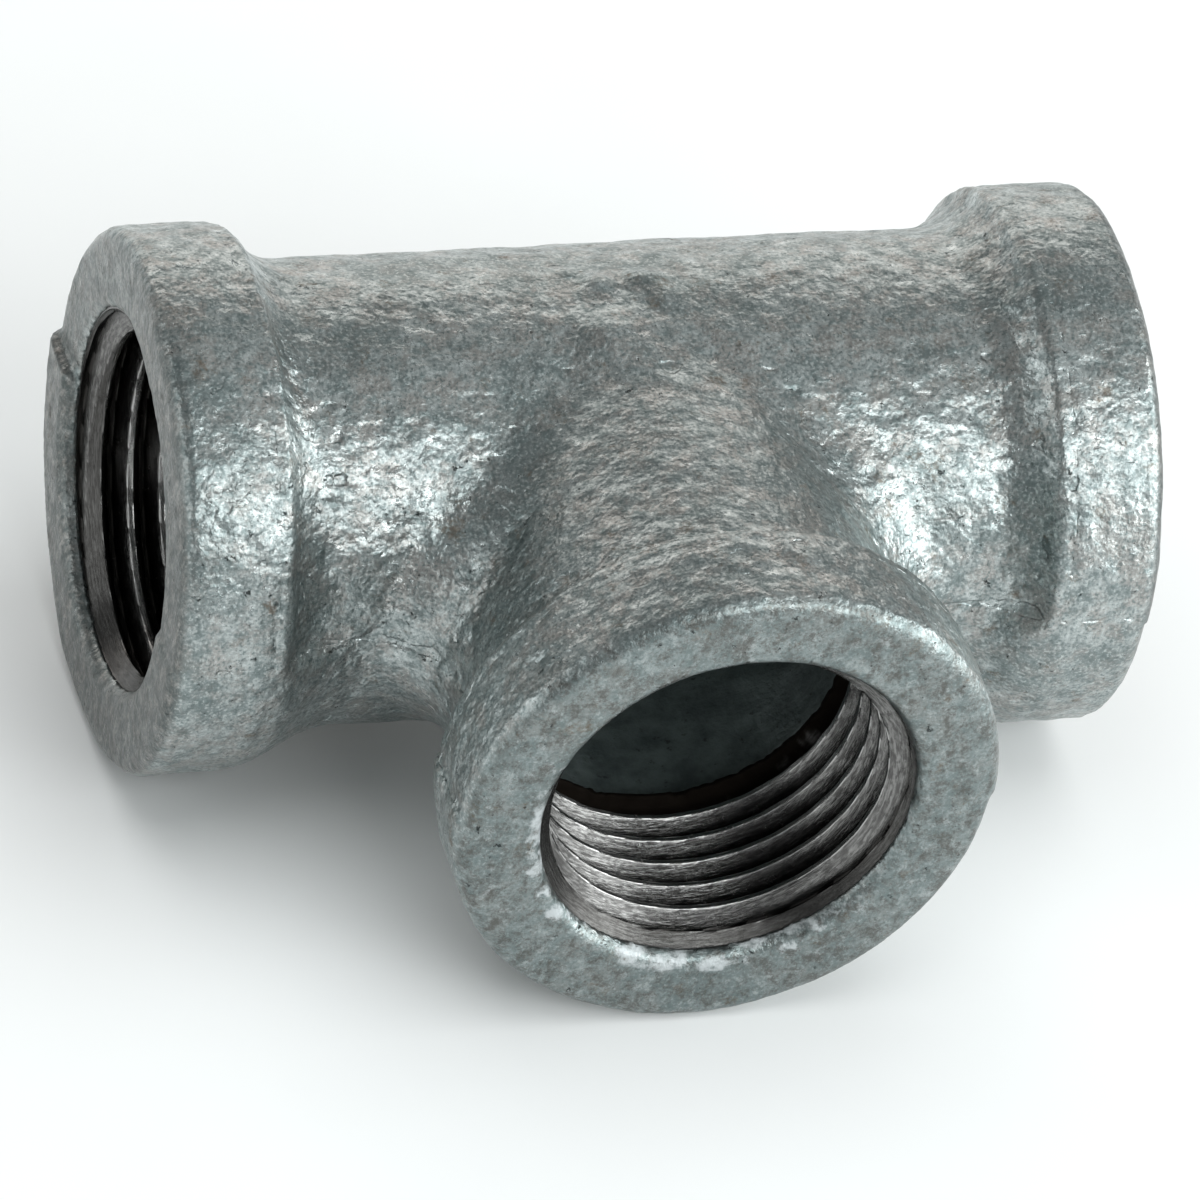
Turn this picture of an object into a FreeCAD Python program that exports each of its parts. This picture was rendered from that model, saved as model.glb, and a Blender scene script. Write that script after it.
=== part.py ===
import FreeCAD
import Part
import Sketcher
import math
import os

# A malleable-iron equal pipe tee of nominal half-inch size, lying flat with its three axes
# level.  The run is along X and the branch points to -Y.  The casting is one piece of iron:
# it is drawn here as the tee body, the three reinforcing bands and the three cut threads,
# which meet face to face.  Every arm is drawn along its own +X, from the crossing of the
# axes, and is turned about Z into its place.  Lengths are in millimetres, angles in degrees.
SIZES = [
    ("centre_to_end", 28.0, "crossing of the axes to each end face"),
    ("major_diameter", 20.955, "bore over the thread roots"),
    ("thread_pitch", 1.814, "one turn, fourteen to the inch"),
    ("flank_angle", 55.0, "angle between the two flanks of a thread"),
    ("thread_length", 13.0, "end face to the inner end of the thread"),
    ("thread_setback", 0.35, "end face to the front of the cut metal"),
    ("thread_backing", 0.52, "metal behind the thread roots, out to the casting"),
    ("chamfer_land", 0.25, "flat ring left round the lead-in chamfer"),
    ("chamfer_angle", 45.0, "slope of the lead-in chamfer from the axis"),
    ("run_wall", 1.8, "run tube's wall round a thread"),
    ("branch_wall", 1.3, "branch tube's wall round a thread"),
    ("chamber_step", 0.3, "shoulder between a thread and the cast waterway"),
    ("band_wall", 3.95, "band's wall round a thread"),
    ("band_width", 6.1, "end face to the band's inner corner"),
    ("band_shoulder", 1.6, "length over which the band falls to the tube"),
    ("neck_length", 1.4, "level foot of the band beside its shoulder"),
    ("rim_radius", 1.2, "rounding between end face and band"),
    ("shoulder_radius", 0.9, "rounding at the band's inner corner"),
    ("neck_radius", 1.3, "hollow between shoulder and tube"),
    ("lip_radius", 0.35, "rounding of the casting round each mouth"),
    ("crotch_radius", 4.5, "blend between run and branch"),
]
SHEET = "sizes"
ARM_ANGLES = {"right": 0.0, "left": 180.0, "branch": -90.0}
DEPTH_PER_PITCH = 0.640327    # the pipe thread form: crest to root
FLAT_PER_PITCH = 1 / 6        # and the land left on each crest and root
RING_SECTORS = 8              # a ring of cut metal is turned as this many equal sectors
CUT_OVER = 0.3                # how far a cutting profile stands inside the bore it cuts from
SPARE_TURNS = 2               # turns that the cutter runs past each end of the thread
FIND_TOLERANCE = 0.01         # how closely an edge lies where it is looked for

Vector = FreeCAD.Vector
doc = FreeCAD.newDocument("pipe_tee")


def make_sheet():
    """The driving sizes, one row each: name, value with an alias, and what it is."""
    sheet = doc.addObject("Spreadsheet::Sheet", SHEET)
    for row, (name, value, note) in enumerate(SIZES, start=1):
        sheet.set(f"A{row}", name)
        sheet.set(f"B{row}", str(value))
        sheet.set(f"C{row}", note)
        sheet.setAlias(f"B{row}", name)
    doc.recompute()
    return sheet


sheet = make_sheet()


def cell(text):
    """An expression on the sheet: each {name} becomes that size's own cell."""
    return "(" + text.format(**{name: f"{SHEET}.{name}" for name, _, _ in SIZES}) + ")"


def number(expression):
    """The present value of an expression on the sheet."""
    value = sheet.evalExpression(expression)
    return float(getattr(value, "Value", value))


# Places along an arm, measured from the crossing of the axes.
END_FACE = cell("{centre_to_end}")
BAND_CORNER = cell("{centre_to_end} - {band_width}")
SHOULDER_FOOT = cell("{centre_to_end} - {band_width} - {band_shoulder}")
BAND_FOOT = cell("{centre_to_end} - {band_width} - {band_shoulder} - {neck_length}")
THREAD_FRONT = cell("{centre_to_end} - {thread_setback}")
THREAD_END = cell("{centre_to_end} - {thread_length}")

# Radii about an arm's axis.  Everything is built outwards from the thread's roots.
THREAD_DEPTH = cell(f"{DEPTH_PER_PITCH} * {{thread_pitch}}")
ROOT = cell("{major_diameter} / 2")
CREST = f"({ROOT} - {THREAD_DEPTH})"
SEAT = cell("{major_diameter} / 2 + {thread_backing}")
CHAMFER = f"({SEAT} - {cell('{chamfer_land}')})"
CHAMBER = f"({SEAT} - {cell('{chamber_step}')})"
RUN_OUTSIDE = f"({SEAT} + {cell('{run_wall}')})"
BRANCH_OUTSIDE = f"({SEAT} + {cell('{branch_wall}')})"
BAND_OUTSIDE = f"({SEAT} + {cell('{band_wall}')})"
CHAMFER_END = f"({THREAD_FRONT} - ({CHAMFER} - {CREST}) / tan({cell('{chamfer_angle}')} * 1 deg))"

# The part stands on the floor with its outline centred on the origin.
AXIS_HEIGHT = BAND_OUTSIDE
AXIS_SHIFT = f"(({END_FACE} - {BAND_OUTSIDE}) / 2)"


def origin_feature(body, role):
    """One of a body's own origin planes or axes."""
    return next(feature for feature in body.Origin.OriginFeatures if feature.Role == role)


def add_body(name, angle=0.0):
    """A body with its own +X turned about Z to its arm, set at the crossing of the axes."""
    body = doc.addObject("PartDesign::Body", name)
    body.Label = name
    body.Placement.Rotation = FreeCAD.Rotation(Vector(0, 0, 1), angle)
    body.setExpression("Placement.Base.y", AXIS_SHIFT)
    body.setExpression("Placement.Base.z", AXIS_HEIGHT)
    return body


def add_sketch(body, name, role, offset=None):
    """A sketch on one of the body's planes, moved along the plane's normal if offset is given."""
    sketch = body.newObject("Sketcher::SketchObject", name)
    sketch.AttachmentSupport = (origin_feature(body, role), "")
    sketch.MapMode = "FlatFace"
    if offset is not None:
        sketch.setExpression("AttachmentOffset.Base.z", offset)
    doc.recompute()
    return sketch


def bind(sketch, constraint, expression):
    """Add a sketch constraint and tie its value to the sheet."""
    index = sketch.addConstraint(constraint)
    sketch.setExpression(f"Constraints[{index}]", expression)


def draw_circle(sketch, radius):
    """A circle about the sketch's own origin."""
    circle = sketch.addGeometry(Part.Circle(Vector(), Vector(0, 0, 1), number(radius)), False)
    sketch.addConstraint(Sketcher.Constraint("Coincident", circle, 3, -1, 1))
    bind(sketch, Sketcher.Constraint("Radius", circle, number(radius)), radius)


def draw_outline(sketch, corners):
    """A closed outline of straight lines, each corner held at its own pair of expressions."""
    spots = [Vector(number(x), number(y), 0) for x, y in corners]
    lines = [
        sketch.addGeometry(Part.LineSegment(start, end), False)
        for start, end in zip(spots, spots[1:] + spots[:1])
    ]
    for line, (x, y) in zip(lines, corners):
        bind(sketch, Sketcher.Constraint("DistanceX", -1, 1, line, 1, number(x)), x)
        bind(sketch, Sketcher.Constraint("DistanceY", -1, 1, line, 1, number(y)), y)
    for line, following in zip(lines, lines[1:] + lines[:1]):
        sketch.addConstraint(Sketcher.Constraint("Coincident", line, 2, following, 1))
    doc.recompute()


def add_feature(body, kind, name, **properties):
    """A feature of a body; its properties are plain values, or expressions given as text."""
    feature = body.newObject(kind, name)
    feature.Refine = False
    for key, value in properties.items():
        if isinstance(value, str):
            feature.setExpression(key, value)
        else:
            setattr(feature, key, value)
    doc.recompute()
    return feature


def add_cut(body, kind, name, **properties):
    """A cutting feature, which has to take metal away."""
    before = body.Shape.Volume
    feature = add_feature(body, kind, name, **properties)
    if feature.Shape.Volume >= before:
        raise ValueError(f"{name} cuts nothing from {body.Label}")
    return feature


def add_fillet(body, name, edges, radius):
    """Round the given edges of the body's last feature."""
    if not edges:
        raise ValueError(f"{name} finds no edge on {body.Label}")
    base = body.Tip
    return add_feature(body, "PartDesign::Fillet", name, Base=(base, edges), Radius=radius)


def ring_edges(body, place, radius):
    """Names of the round edges about the local X axis, at a place along it and a radius."""
    names = []
    for index, edge in enumerate(body.Tip.Shape.Edges, start=1):
        spots = edge.discretize(Number=5)
        if all(
            abs(spot.x - number(place)) < FIND_TOLERANCE
            and abs(math.hypot(spot.y, spot.z) - number(radius)) < FIND_TOLERANCE
            for spot in spots
        ):
            names.append(f"Edge{index}")
    return names


def crossing_edges(body):
    """Names of the edges where the branch tube meets the run tube."""
    names = []
    for index, edge in enumerate(body.Tip.Shape.Edges, start=1):
        spots = edge.discretize(Number=9)
        if all(
            abs(math.hypot(spot.y, spot.z) - number(RUN_OUTSIDE)) < FIND_TOLERANCE
            and abs(math.hypot(spot.x, spot.z) - number(BRANCH_OUTSIDE)) < FIND_TOLERANCE
            for spot in spots
        ):
            names.append(f"Edge{index}")
    return names


def make_tee_body():
    """The two crossing tubes with their cast waterways and the seats round the threads."""
    body = add_body("tee_body")
    run = add_sketch(body, "run_section", "YZ_Plane")
    draw_circle(run, RUN_OUTSIDE)
    add_feature(
        body, "PartDesign::Pad", "run_tube", Profile=run, Midplane=True, Length=f"2 * {BAND_FOOT}"
    )
    branch = add_sketch(body, "branch_section", "XZ_Plane")
    draw_circle(branch, BRANCH_OUTSIDE)
    add_feature(body, "PartDesign::Pad", "branch_tube", Profile=branch, Length=BAND_FOOT)
    add_fillet(body, "crotch", crossing_edges(body), cell("{crotch_radius}"))

    bore = add_sketch(body, "run_bore_section", "YZ_Plane")
    draw_circle(bore, CHAMBER)
    add_cut(
        body, "PartDesign::Pocket", "run_bore", Profile=bore, Midplane=True, Length=f"3 * {END_FACE}"
    )
    bore = add_sketch(body, "branch_bore_section", "XZ_Plane")
    draw_circle(bore, CHAMBER)
    add_cut(
        body, "PartDesign::Pocket", "branch_bore", Profile=bore, Reversed=True, Length=END_FACE
    )
    seats = [
        ("right_seat", "YZ_Plane", THREAD_END, True),
        ("left_seat", "YZ_Plane", f"-{THREAD_END}", False),
        ("branch_seat", "XZ_Plane", THREAD_END, True),
    ]
    for name, role, offset, reversed_cut in seats:
        section = add_sketch(body, f"{name}_section", role, offset)
        draw_circle(section, SEAT)
        add_cut(
            body, "PartDesign::Pocket", name, Profile=section, Reversed=reversed_cut, Length=END_FACE
        )
    return body


def make_band(name, angle, tube):
    """A reinforcing band: rounded rim, level outside, sloping shoulder and hollow neck."""
    body = add_body(name, angle)
    section = add_sketch(body, f"{name}_section", "XY_Plane")
    draw_outline(
        section,
        [
            (BAND_FOOT, SEAT),
            (END_FACE, SEAT),
            (END_FACE, BAND_OUTSIDE),
            (BAND_CORNER, BAND_OUTSIDE),
            (SHOULDER_FOOT, tube),
            (BAND_FOOT, tube),
        ],
    )
    add_feature(
        body,
        "PartDesign::Revolution",
        f"{name}_turned",
        Profile=section,
        ReferenceAxis=(origin_feature(body, "X_Axis"), [""]),
        Angle=360.0,
    )
    roundings = [
        ("rim", END_FACE, BAND_OUTSIDE, cell("{rim_radius}")),
        ("lip", END_FACE, SEAT, cell("{lip_radius}")),
        ("shoulder", BAND_CORNER, BAND_OUTSIDE, cell("{shoulder_radius}")),
        ("neck", SHOULDER_FOOT, tube, cell("{neck_radius}")),
    ]
    for part, place, radius, rounding in roundings:
        add_fillet(body, f"{name}_{part}", ring_edges(body, place, radius), rounding)
    return body


def make_thread(name, angle):
    """A ring of cut metal: a lead-in chamfer and a right-hand parallel thread, open both ends."""
    body = add_body(name, angle)
    section = add_sketch(body, f"{name}_section", "XY_Plane")
    draw_outline(
        section,
        [
            (THREAD_END, CREST),
            (CHAMFER_END, CREST),
            (THREAD_FRONT, CHAMFER),
            (THREAD_FRONT, SEAT),
            (THREAD_END, SEAT),
        ],
    )
    axis = (origin_feature(body, "X_Axis"), [""])
    sector = add_feature(
        body,
        "PartDesign::Revolution",
        f"{name}_sector",
        Profile=section,
        ReferenceAxis=axis,
        Angle=360.0 / RING_SECTORS,
    )
    pattern = body.newObject("PartDesign::PolarPattern", f"{name}_ring")
    pattern.Refine = False
    pattern.Originals = [sector]
    pattern.Axis = axis
    pattern.Angle = 360.0
    pattern.Occurrences = RING_SECTORS
    body.Tip = pattern
    doc.recompute()

    flank = f"tan({cell('{flank_angle}')} / 2 * 1 deg)"
    half_open = cell(f"{1 - FLAT_PER_PITCH} * {{thread_pitch}} / 2")
    half_root = f"({half_open} - {THREAD_DEPTH} * {flank})"
    half_over = f"({half_open} + {CUT_OVER} * {flank})"
    over = f"({CREST} - {CUT_OVER})"
    start = f"({THREAD_END} - {SPARE_TURNS} * {cell('{thread_pitch}')})"
    groove = add_sketch(body, f"{name}_groove_section", "XY_Plane")
    draw_outline(
        groove,
        [
            (f"{start} - {half_over}", over),
            (f"{start} - {half_root}", ROOT),
            (f"{start} + {half_root}", ROOT),
            (f"{start} + {half_over}", over),
        ],
    )
    add_cut(
        body,
        "PartDesign::SubtractiveHelix",
        f"{name}_cut",
        Profile=groove,
        ReferenceAxis=axis,
        Mode=0,
        Pitch=cell("{thread_pitch}"),
        Height=cell(f"{{thread_length}} + {2 * SPARE_TURNS} * {{thread_pitch}}"),
        LeftHanded=False,
    )
    return body


def make_all():
    """Every sub-part of the tee: its body, then the band and the thread of each arm."""
    bodies = [make_tee_body()]
    for arm, angle in ARM_ANGLES.items():
        tube = BRANCH_OUTSIDE if arm == "branch" else RUN_OUTSIDE
        band = "branch_band" if arm == "branch" else f"run_band_{arm}"
        thread = "branch_thread" if arm == "branch" else f"run_thread_{arm}"
        bodies.append(make_band(band, angle, tube))
        bodies.append(make_thread(thread, angle))
    return bodies


def check(bodies):
    """Stop if any object failed to compute, or a sub-part isn't one sound solid."""
    doc.recompute()
    failed = [o.Label for o in doc.Objects if {"Invalid", "Error"} & set(o.State)]
    if failed:
        raise ValueError(f"failed objects: {failed}")
    for body in bodies:
        shape = body.Shape
        if shape.isNull() or not shape.isValid() or len(shape.Solids) != 1:
            raise ValueError(f"{body.Label} is not one sound solid")


def write(bodies):
    """One STEP file for each sub-part, named after it."""
    os.makedirs("parts", exist_ok=True)
    for body in bodies:
        body.Shape.exportStep(f"parts/{body.Label}.step")
        print(f"{body.Label}: {body.Shape.Volume:.1f} mm3")


bodies = make_all()
check(bodies)
write(bodies)
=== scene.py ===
"""A galvanised pipe tee: one sand casting with three banded ends and a cut thread in each.

The casting is worked out as a field of distances, skinned, and parted into its body and
three bands. The threads are helical rings. Lengths are in metres, except in the casting's
field and its marks, which are in millimetres from the crossing of the axes.
"""

import math

import bmesh
import bpy
import numpy as np
import openvdb
from bpy.props import FloatProperty, FloatVectorProperty, IntProperty, PointerProperty
from bpy.types import Operator, Panel, PropertyGroup
from mathutils import Matrix, Vector


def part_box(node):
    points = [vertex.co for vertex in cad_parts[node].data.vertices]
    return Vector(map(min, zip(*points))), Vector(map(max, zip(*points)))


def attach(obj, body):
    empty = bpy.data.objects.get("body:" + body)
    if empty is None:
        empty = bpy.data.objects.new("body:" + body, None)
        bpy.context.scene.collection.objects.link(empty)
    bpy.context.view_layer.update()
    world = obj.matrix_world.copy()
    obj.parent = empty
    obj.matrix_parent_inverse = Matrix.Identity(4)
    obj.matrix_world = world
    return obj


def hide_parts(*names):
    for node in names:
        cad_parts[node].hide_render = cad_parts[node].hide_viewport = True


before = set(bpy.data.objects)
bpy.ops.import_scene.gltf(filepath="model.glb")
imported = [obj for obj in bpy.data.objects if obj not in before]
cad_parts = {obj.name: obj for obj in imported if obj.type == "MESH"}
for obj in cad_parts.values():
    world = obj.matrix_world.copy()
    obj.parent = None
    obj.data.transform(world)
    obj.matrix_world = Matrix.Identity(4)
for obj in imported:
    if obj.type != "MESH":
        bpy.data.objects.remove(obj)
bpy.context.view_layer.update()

bl_info = {
    "name": "Galvanised Banded Tee",
    "version": (1, 0, 0),
    "blender": (4, 5, 0),
    "location": "3D View > Sidebar > Fitting",
    "description": "Builds a cast and galvanised pipe tee with cut threads, and its studio",
    "category": "Add Mesh",
}

MM = 0.001
BODY = "root"
SKIN = "casting_skin"
FIELD_STEPS = 3
SMOOTHING_ROUNDS = 5
SAME_PLACE = 1e-7

BODY_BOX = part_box("tee_body")
RIGHT_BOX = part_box("run_band_right")
BRANCH_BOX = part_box("branch_band")
THREAD_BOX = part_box("run_thread_right")

CROSSING = Vector(
    (0.0, (RIGHT_BOX[0].y + RIGHT_BOX[1].y) / 2, (RIGHT_BOX[0].z + RIGHT_BOX[1].z) / 2)
)
ARM_LENGTH = RIGHT_BOX[1].x
BAND_RADIUS = (RIGHT_BOX[1].z - RIGHT_BOX[0].z) / 2
RUN_RADIUS = (BODY_BOX[1].z - BODY_BOX[0].z) / 2
SEAT_RADIUS = (THREAD_BOX[1].z - THREAD_BOX[0].z) / 2
BAND_START = RIGHT_BOX[0].x
THREAD_INNER_END = THREAD_BOX[0].x
RIGHT_CUT = Vector((BAND_START, 0.0, 0.0))
LEFT_CUT = Vector((-BAND_START, 0.0, 0.0))
BRANCH_CUT = Vector((0.0, BRANCH_BOX[1].y, 0.0))

# The rusty and torn inner end of a thread, measured back from its seat's end.
RUST_WIDTH = 0.0024
RUST_EDGE = 0.0005
TORN_WIDTH = 0.0022
LAST_TURN = 0.0012

# A thread's unevenness in mm: the radius that it is drawn on, and the size of its lumps.
GRAIN_RADIUS = 10.0
TORN_LUMPS = 1.2
SMALL_TORN_LUMPS = 0.4
CHATTER_LUMPS = (1.1, 1.1, 0.275)

# The lead-in chamfer gets as much painted shade as a thread flank that is cut down to this share of its
# height.
CHAMFER_RISE = 0.15
SHARP_ANGLE = math.radians(50.0)

FLOOR_HALF_WIDTH = 1.6
FLOOR_SQUARES = 24
FLOOR_SHADE = 0.985
SENSOR_WIDTH = 36.0
NEAREST_SEEN = 0.01
FARTHEST_SEEN = 20.0
COOL = (0.96, 1.0, 1.0)
WARM = (1.0, 0.95, 0.9)

# Each soft light: bearing and height in degrees, distance, width and height, and tint.
SOFT_LIGHTS = {
    "front": (16.0, 37.0, 0.75, (0.5, 0.36), COOL),
    "key": (66.0, 11.0, 0.75, (1.0, 0.5), COOL),
    "side": (-88.0, 12.0, 0.75, (0.85, 0.46), COOL),
    "back": (175.0, 20.0, 0.9, (1.3, 0.62), WARM),
    "top": (70.0, 66.0, 1.0, (1.2, 0.9), COOL),
    "floor": (0.0, 90.0, 1.2, (1.2, 1.2), COOL),
}


def length(name, description, default, precision=5):
    """A size in metres that the maker may change."""
    return FloatProperty(
        name=name,
        description=description,
        default=default,
        precision=precision,
        unit="LENGTH",
    )


def colour(name, description, default):
    """A colour that the maker may change."""
    return FloatVectorProperty(
        name=name,
        description=description,
        default=default,
        size=3,
        min=0.0,
        max=1.0,
        subtype="COLOR",
    )


def angle(name, description, degrees):
    """An angle that the maker may change."""
    return FloatProperty(
        name=name,
        description=description,
        default=math.radians(degrees),
        subtype="ANGLE",
        unit="ROTATION",
    )


def plain(name, description, default):
    """A plain number that the maker may change."""
    return FloatProperty(name=name, description=description, default=default)


class CastingSizes(PropertyGroup):
    """Sizes of the casting's outside, its cored inside and its mould marks."""

    mesh_step: length("Mesh Step", "Spacing of the points that the skin is drawn through", 0.000295, 6)
    branch_radius: length("Branch Radius", "Outside radius of the plain branch pipe", 0.0122975)
    chamber_radius: length("Chamber Radius", "Radius of the cored passage inside", 0.0106975)
    crotch_radius: length("Crotch Radius", "Fillet where the branch meets the run", 0.0045)
    band_width: length("Band Width", "Full-height width of a band", 0.0061)
    steep_slope: length("Steep Slope", "Length of the slope behind the left band's upper half", 0.0007)
    long_slope: length("Long Slope", "Length of the slope behind the other bands' upper halves", 0.0014)
    lower_slope: length("Lower Slope", "Length of the slope behind a band's lower half", 0.0019)
    upper_edge: length("Upper Edge", "Rounding at the top of a slope in the upper half", 0.0004)
    lower_edge: length("Lower Edge", "Rounding at the top of a slope in the lower half", 0.0012)
    full_neck: length("Full Neck", "Fillet at the foot of the left band's slope", 0.0022)
    tight_neck: length("Tight Neck", "Fillet at the foot of the other bands' slopes", 0.0015)
    rim_radius: length("Rim Radius", "Rounding of a band's outer rim", 0.001)
    lip_radius: length("Lip Radius", "Rounding where a bore meets an end face", 0.0009)
    lip_bore: length("Lip Bore", "Radius of the cast lip in front of a thread", 0.01035)
    lip_depth: length("Lip Depth", "Depth of the cast lip in front of a thread", 0.0009)
    mould_shift: length("Mould Shift", "Sideways slip of each mould half", 0.00028)
    lower_band_extra: length("Lower Band Extra", "How much wider the lower half's bands are", 0.0005)
    seam_height: length("Seam Height", "Height of the fin left at the parting line", 0.00012)
    bead_height: length("Bead Height", "Height of the bead along a band's shoulder", 0.0001)
    swell_height: length("Swell Height", "Height of the casting's slow unevenness", 0.0001)
    lump_height: length("Lump Height", "Height of the sand-cast lumps", 0.00007)


class ThreadSizes(PropertyGroup):
    """Sizes of the parallel pipe thread that is cut in each end."""

    pitch: length("Pitch", "Distance from one thread crest to the next", 0.001814, 6)
    crest_radius: length("Crest Radius", "Radius to the top of the thread", 0.009316, 6)
    root_radius: length("Root Radius", "Radius to the bottom of the thread", 0.0104775, 6)
    chamfer_radius: length("Chamfer Radius", "Widest radius of the lead-in chamfer", 0.01052, 6)
    crest_share: plain("Crest Share", "Flat at the crest as a share of the pitch", 1 / 6)
    root_share: plain("Root Share", "Flat at the root as a share of the pitch", 1 / 6)
    ragged_end: length("Ragged End", "How uneven the inner end of the thread is", 0.0003)
    chatter: length("Chatter", "Height of the tool's chatter marks", 0.000012, 6)
    turns_round: IntProperty(name="Points Round", description="Mesh points round one turn", default=288)
    rows_per_turn: IntProperty(name="Rows Per Turn", description="Mesh rows along one pitch", default=26)


class FinishColours(PropertyGroup):
    """Colours of the zinc coat, its stains and the bare cut iron."""

    zinc_light: colour("Light Zinc", "Bright spangles of the zinc coat", (0.6, 0.645, 0.64))
    zinc_mid: colour("Mid Zinc", "Main tone of the zinc coat", (0.385, 0.422, 0.42))
    zinc_warm: colour("Warm Zinc", "Brownish grey parts of the zinc coat", (0.37, 0.345, 0.325))
    # Dark zinc is also used as the painted shade in the casting's hollows.
    zinc_dark: colour("Dark Zinc", "Dull blue-green parts of the zinc coat", (0.165, 0.205, 0.205))
    fresh_zinc: colour("Fresh Zinc", "Pale zinc left round the branch mouth", (0.5, 0.53, 0.54))
    grime: colour("Grime", "Brown dust that lies on an end face", (0.11, 0.106, 0.097))
    rubbed_zinc: colour("Rubbed Zinc", "Dark streaks where an end face was rubbed", (0.07, 0.078, 0.076))
    stain: colour("Stain", "Brown stain on the zinc coat", (0.16, 0.125, 0.09))
    pit: colour("Pit", "Bottoms of the small pits", (0.02, 0.024, 0.024))
    chamber_zinc: colour("Chamber Zinc", "Dull coat inside the passage", (0.15, 0.185, 0.18))
    chamber_dark: colour("Chamber Dark", "Darkest coat inside the passage", (0.065, 0.085, 0.085))
    iron: colour("Cut Iron", "Bare iron where the tool has cut", (0.27, 0.266, 0.26))
    # Painted highlight on the thread crests.
    crest_highlight: colour("Worn Iron", "Polished thread crests", (0.7, 0.69, 0.68))
    iron_dull: colour("Dull Iron", "Tool rings in the cut iron", (0.105, 0.102, 0.1))
    # Oiled iron for the dark blotches, and also painted shade in the thread roots and on the lead-in
    # chamfer.
    oiled_iron_and_root_shade: colour("Oiled Iron", "Oil and dust at the bottom of the thread", (0.035, 0.033, 0.031))
    rust: colour("Rust", "Dark rust at the inner end of a thread", (0.017, 0.0135, 0.011))


class StudioSettings(PropertyGroup):
    """The floor, the soft lights and the camera."""

    floor_colour: colour("Floor", "Colour of the floor", (0.9, 0.9, 0.9))
    air_colour: colour("Room", "Colour of the light from the room", (0.24, 0.25, 0.25))
    front_strength: plain("Front Light", "Brightness of the light in front", 3.4)
    key_strength: plain("Key Light", "Brightness of the large light at the right", 4.3)
    side_strength: plain("Side Light", "Brightness of the light at the left", 1.2)
    back_strength: plain("Back Light", "Brightness of the light behind", 1.1)
    top_strength: plain("Top Light", "Brightness of the light overhead", 0.32)
    floor_strength: plain("Floor Light", "Brightness of the wash that lights the floor", 1.6)
    bearing: angle("Bearing", "Camera's turn round the fitting from straight ahead", -21.845)
    height: angle("Height", "Camera's angle above the floor", 39.259)
    roll: angle("Roll", "Camera's tilt about its own line of sight", 11.117)
    distance: length("Distance", "Camera's distance from the crossing of the axes", 0.5966)
    lens: plain("Lens", "Focal length in millimetres on a 36 mm wide sensor", 325.2)
    aim_below: length("Aim Below", "How far under the crossing the camera points", 0.00687)


def smooth_step(value):
    """Rises from 0 to 1 as the value does, with level ends."""
    t = np.clip(value, 0.0, 1.0)
    return t * t * (3.0 - 2.0 * t)


def round_join(first, second, radius, lean=0.0):
    """Field of two solids together, with a fillet of that radius between them.

    The lean is the cosine between the two surfaces' outward directions: 0 where they
    stand square to each other, and near 1 where they run on into each other.
    """
    reach_first = np.maximum(radius - first, 0.0)
    reach_second = np.maximum(radius - second, 0.0)
    between = (reach_first > lean * reach_second) & (reach_second > lean * reach_first)
    squares = reach_first**2 + reach_second**2 - 2.0 * lean * reach_first * reach_second
    reach = np.sqrt(np.maximum(squares, 0.0) / (1.0 - lean**2))
    return np.where(between, radius - reach, np.minimum(first, second))


def round_edge(first, second, radius):
    """Field of what two solids share, with their edge rounded to that radius."""
    reach = np.hypot(np.maximum(radius + first, 0.0), np.maximum(radius + second, 0.0))
    return np.minimum(-radius, np.maximum(first, second)) + reach


def hump(away, width):
    """1 where away is 0, and falling off smoothly over that width on both sides."""
    return np.exp(-((away / width) ** 2))


def distance(points, place):
    """Distance of each point from the place."""
    return np.sqrt(((points - np.array(place, np.float32)) ** 2).sum(axis=1))


def grid_points(axes, chosen):
    """The chosen points of the grid with those axes."""
    where = np.nonzero(chosen)
    return np.stack([axes[k][where[k]] for k in range(3)], axis=1)


class Grain:
    """Repeatable random unevenness that varies smoothly through space."""

    CELLS = 256
    DIRECTIONS = 64
    SPREAD = 1.6

    def __init__(self, seed):
        maker = np.random.default_rng(seed)
        self.order = maker.permutation(self.CELLS).astype(np.int32)
        slopes = maker.normal(size=(self.DIRECTIONS, 3))
        slopes /= np.linalg.norm(slopes, axis=1, keepdims=True)
        self.slopes = slopes.astype(np.float32)

    def at(self, points, size):
        """Values from about -1 to 1 at the points, with lumps of about that size."""
        places = (points / np.asarray(size, np.float32)).astype(np.float32)
        cell = np.floor(places).astype(np.int32)
        part = places - cell
        ease = part * part * part * (part * (part * 6.0 - 15.0) + 10.0)
        total = np.zeros(len(points), np.float32)
        for corner in range(8):
            step = np.array([corner & 1, corner >> 1 & 1, corner >> 2 & 1], np.int32)
            key = cell + step
            mixed = self.order[(key[:, 0]) % self.CELLS]
            mixed = self.order[(mixed + key[:, 1]) % self.CELLS]
            mixed = self.order[(mixed + key[:, 2]) % self.CELLS]
            slope = self.slopes[mixed % self.DIRECTIONS]
            share = np.where(step == 1, ease, 1.0 - ease).prod(axis=1)
            total += share * ((part - step) * slope).sum(axis=1)
        return total * self.SPREAD


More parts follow.
